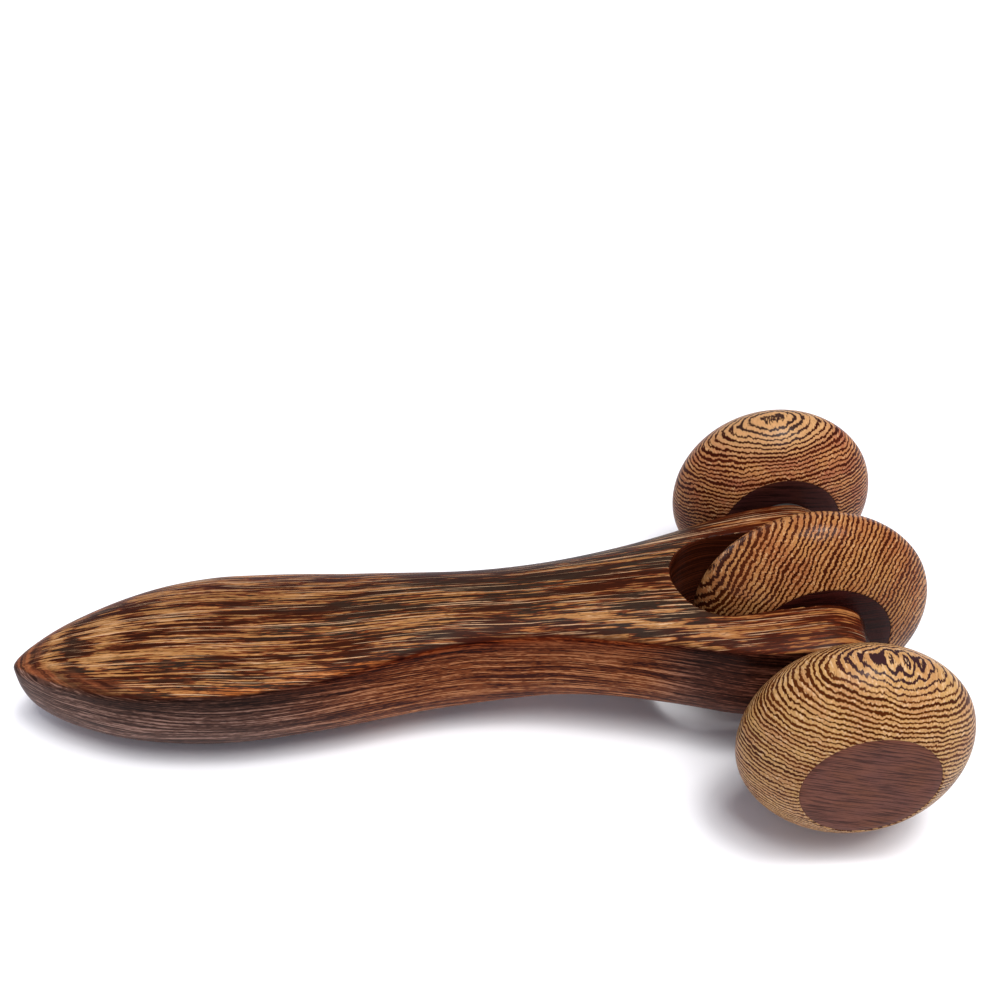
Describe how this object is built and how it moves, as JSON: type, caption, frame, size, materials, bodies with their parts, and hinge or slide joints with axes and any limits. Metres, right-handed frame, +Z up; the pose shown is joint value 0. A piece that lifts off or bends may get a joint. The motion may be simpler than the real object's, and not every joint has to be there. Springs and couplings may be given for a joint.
{
  "type": "foot massage roller",
  "caption": "Hand-held wooden massage roller: a carved leaf-shaped handle with a forked head, and rounded wooden wheels turning freely on one hidden steel axle.",
  "frame": {"origin": "on the floor, under the middle of the whole roller's box", "axes": "+X from the tip of the grip towards the wheels, +Y along the axle towards the rear wheel, +Z up"},
  "size_m": [0.1856, 0.0926, 0.048],
  "materials": {
    "handle_wood": "satin",
    "wheel_wood": "satin",
    "disc_wood": "satin",
    "axle_steel": "satin",
    "washer_steel": "satin",
    "retainer_steel": "satin",
    "spacer_nylon": "matte"
  },
  "bodies": {
    "handle_body": {"handle": "handle_wood", "axle": "axle_steel", "front_spacer": "spacer_nylon", "rear_spacer": "spacer_nylon", "slot_front_washer": "washer_steel", "slot_rear_washer": "washer_steel", "end_washers": "washer_steel", "push_on_retainers": "retainer_steel"},
    "front_roller": {"front_wheel": "wheel_wood", "front_outer_disc": "disc_wood", "front_inner_disc": "disc_wood"},
    "centre_roller": {"centre_wheel": "wheel_wood", "centre_front_disc": "disc_wood", "centre_rear_disc": "disc_wood"},
    "rear_roller": {"rear_wheel": "wheel_wood", "rear_inner_disc": "disc_wood", "rear_outer_disc": "disc_wood"}
  },
  "joints": [
    {"name": "front_spin", "type": "hinge", "parent": "handle_body", "child": "front_roller", "pos_m": [0.0688, -0.0354, 0.024], "axis": [0, 1, 0], "continuous": true},
    {"name": "centre_spin", "type": "hinge", "parent": "handle_body", "child": "centre_roller", "pos_m": [0.0688, -0.0006, 0.024], "axis": [0, 1, 0], "continuous": true},
    {"name": "rear_spin", "type": "hinge", "parent": "handle_body", "child": "rear_roller", "pos_m": [0.0688, 0.0354, 0.024], "axis": [0, 1, 0], "continuous": true}
  ]
}
